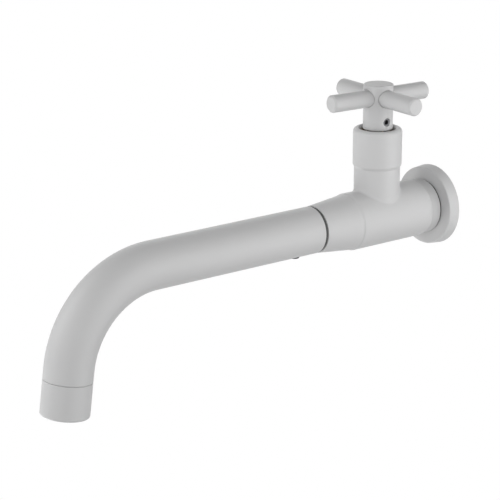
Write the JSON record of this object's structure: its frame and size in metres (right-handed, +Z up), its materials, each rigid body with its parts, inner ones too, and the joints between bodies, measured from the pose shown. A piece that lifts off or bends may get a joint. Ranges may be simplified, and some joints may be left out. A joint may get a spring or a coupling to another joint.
{
  "type": "wall-mounted basin tap",
  "caption": "Wall-mounted basin tap: round flange, barrel body with upright cross handle, and a long swivel spout that bends down to an aerator.",
  "frame": {"origin": "on the inlet axis at the wall plane, where the back of the escutcheon rests", "axes": "+Y into the wall along the threaded inlet shank, +Z up along the handle's axis, +X to the right of someone facing the wall"},
  "size_m": [0.0724, 0.3038, 0.161],
  "materials": {
    "grey_paint": "matte light grey powder coat on brass",
    "raw_brass": "turned, uncoated",
    "black_rubber": "matte EPDM",
    "black_nylon": "matte nylon",
    "dark_steel": "blackened",
    "screen_steel": "punched",
    "grey_plastic": "moulded",
    "white_ceramic": "lapped alumina",
    "red_fibre": "pressed fibre"
  },
  "bodies": {
    "body": {"escutcheon": "grey_paint", "escutcheon_o_ring": "black_rubber", "escutcheon_washer": "black_rubber", "inlet_shank": "grey_paint", "inlet_o_ring": "black_rubber", "valve_body": "grey_paint", "outlet_adapter": "grey_paint", "adapter_o_ring": "black_rubber", "swivel_washer": "black_nylon", "spigot_o_ring_rear": "black_rubber", "spigot_o_ring_front": "black_rubber", "headwork_bonnet": "raw_brass", "bonnet_washer": "red_fibre", "seat_seal": "black_rubber", "ceramic_disc_fixed": "white_ceramic", "spindle_glide_ring": "black_nylon", "shroud_sleeve": "grey_paint", "sleeve_o_ring": "black_rubber"},
    "spout": {"spout_tube": "grey_paint", "spout_inlet_bush": "raw_brass", "spout_retaining_screw": "dark_steel", "spout_outlet_bush": "raw_brass", "aerator_shell": "grey_paint", "aerator_washer": "black_rubber", "aerator_insert": "grey_plastic", "aerator_screen": "screen_steel"},
    "handle": {"spindle": "raw_brass", "spindle_o_ring_lower": "black_rubber", "spindle_o_ring_upper": "black_rubber", "spindle_circlip": "dark_steel", "ceramic_disc_moving": "white_ceramic", "handle_hub": "grey_paint", "handle_set_screw": "dark_steel", "handle_arm_1": "grey_paint", "handle_arm_2": "grey_paint", "handle_arm_3": "grey_paint", "handle_arm_4": "grey_paint"}
  },
  "joints": [
    {"name": "handle_turn", "type": "hinge", "parent": "body", "child": "handle", "pos_m": [0, -0.0468, 0.0746], "axis": [0, 0, 1], "range_deg": [0, 90]},
    {"name": "spout_swivel", "type": "hinge", "parent": "body", "child": "spout", "pos_m": [0, -0.115, 0], "axis": [0, 1, 0], "continuous": true}
  ]
}
